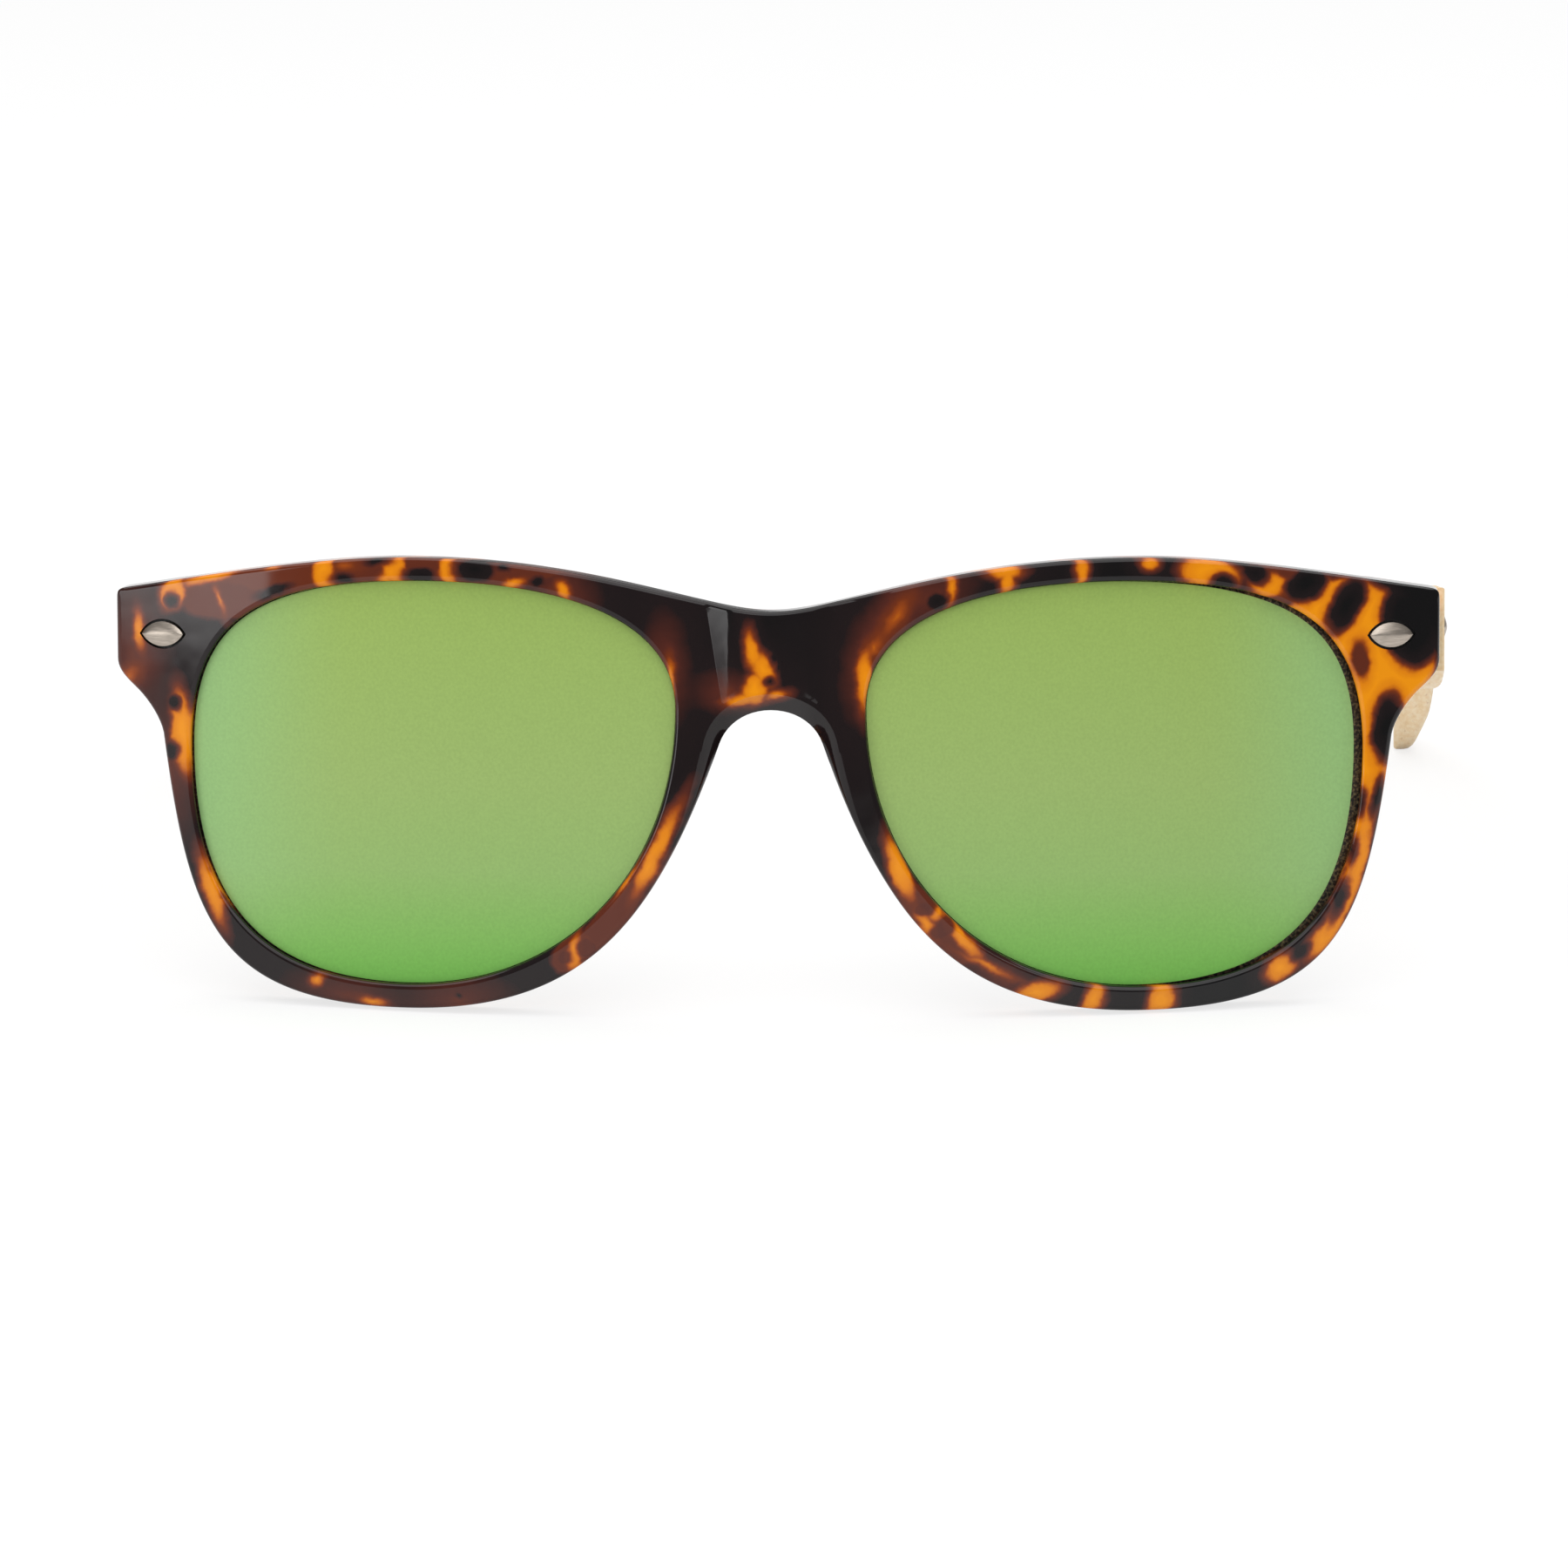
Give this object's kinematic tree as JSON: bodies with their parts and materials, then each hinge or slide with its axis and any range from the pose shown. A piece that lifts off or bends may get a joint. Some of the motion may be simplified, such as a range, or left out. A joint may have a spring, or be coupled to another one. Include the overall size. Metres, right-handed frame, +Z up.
{
  "type": "sunglasses",
  "caption": "Full-rim sunglasses with a moulded tortoiseshell front, green mirrored lenses and hinged bamboo temples, standing open on rims and temple tips.",
  "frame": {"origin": "centre of the bounding box in plan, on the surface that the open glasses stand on", "axes": "+Z up, the front faces -Y, the temples run back along +Y, +X is the right side as the picture shows it"},
  "size_m": [0.1538, 0.154, 0.0495],
  "materials": {
    "front_tortoiseshell": "polished moulded plastic, amber with dark brown blotches",
    "lens_mirror": "tinted plastic lens with a green mirror coating",
    "bamboo": "sanded natural bamboo, satin lacquer",
    "stud_pewter": "antique pewter plating",
    "hinge_steel": "nickel-plated",
    "screw_steel": "turned steel"
  },
  "bodies": {
    "front": {"front_frame": "front_tortoiseshell", "lens_left": "lens_mirror", "lens_right": "lens_mirror", "front_stud_left": "stud_pewter", "front_stud_right": "stud_pewter", "front_leaf_left": "hinge_steel", "front_leaf_right": "hinge_steel", "front_leaf_screw_upper_left": "screw_steel", "front_leaf_screw_lower_left": "screw_steel", "front_leaf_screw_upper_right": "screw_steel", "front_leaf_screw_lower_right": "screw_steel", "hinge_screw_left": "screw_steel", "hinge_screw_right": "screw_steel"},
    "left_temple": {"temple_left": "bamboo", "temple_stud_left": "stud_pewter", "temple_leaf_left": "hinge_steel", "temple_leaf_screw_fore_left": "screw_steel", "temple_leaf_screw_aft_left": "screw_steel"},
    "right_temple": {"temple_right": "bamboo", "temple_stud_right": "stud_pewter", "temple_leaf_right": "hinge_steel", "temple_leaf_screw_fore_right": "screw_steel", "temple_leaf_screw_aft_right": "screw_steel"}
  },
  "joints": [
    {"name": "left_temple_fold", "type": "hinge", "parent": "front", "child": "left_temple", "pos_m": [-0.06675, -0.05236, 0.03839], "axis": [0, -0.1613, -0.9869], "range_deg": [0, 94.5]},
    {"name": "right_temple_fold", "type": "hinge", "parent": "front", "child": "right_temple", "pos_m": [0.06675, -0.05236, 0.03839], "axis": [0, 0.1613, 0.9869], "range_deg": [0, 88]}
  ]
}
